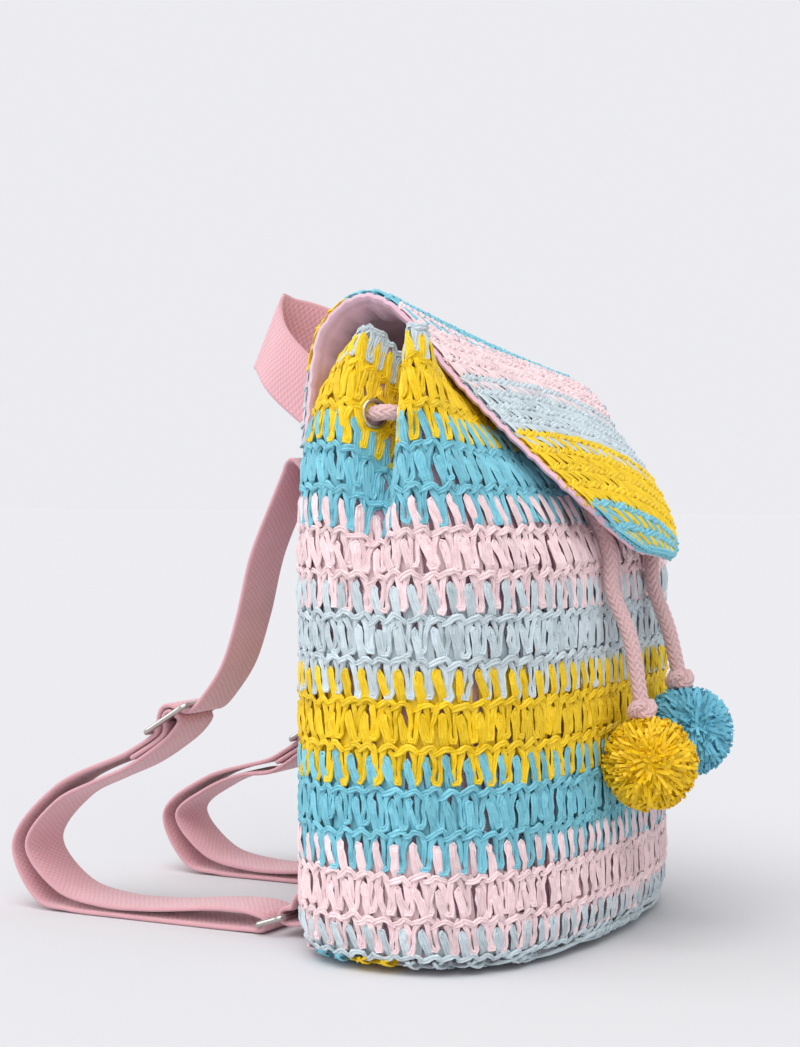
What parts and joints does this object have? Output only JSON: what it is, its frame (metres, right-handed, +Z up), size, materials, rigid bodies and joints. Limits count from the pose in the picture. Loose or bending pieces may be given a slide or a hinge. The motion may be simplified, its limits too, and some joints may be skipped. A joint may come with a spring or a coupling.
{
  "type": "drawstring backpack",
  "caption": "Small drawstring backpack crocheted from striped paper-straw tape, with a lined flap, webbing shoulder straps, a grab loop and a drawcord that ends in pompoms.",
  "frame": {"origin": "centre of the base panel's underside, on the floor", "axes": "+Z up, -Y out of the front where the flap and pompoms hang, +Y towards the wearer's straps, X across the back"},
  "size_m": [0.262, 0.3552, 0.3215],
  "materials": {
    "striped_straw": "crocheted paper-straw tape in pink, pale blue, yellow and turquoise stripes",
    "yellow_straw": "cut paper-straw tape",
    "turquoise_straw": "cut paper-straw tape",
    "cotton_lining": "plain-woven cotton",
    "cotton_webbing": "herringbone cotton webbing",
    "cotton_cord": "braided cotton",
    "nickel": "nickel-plated steel"
  },
  "bodies": {
    "root": {"crochet_body": "striped_straw", "base_panel": "striped_straw", "flap_panel": "striped_straw", "body_lining": "cotton_lining", "flap_lining": "cotton_lining", "handle_loop": "cotton_webbing", "strap_left": "cotton_webbing", "strap_right": "cotton_webbing", "tab_left": "cotton_webbing", "tab_right": "cotton_webbing", "slider_left": "nickel", "slider_right": "nickel", "ring_left": "nickel", "ring_right": "nickel", "drawcord": "cotton_cord", "pompom_yellow": "yellow_straw", "pompom_turquoise": "turquoise_straw", "eyelet_front_left": "nickel", "eyelet_front_right": "nickel", "eyelet_left_front": "nickel", "eyelet_left_back": "nickel", "eyelet_right_back": "nickel", "eyelet_right_front": "nickel"}
  },
  "joints": []
}
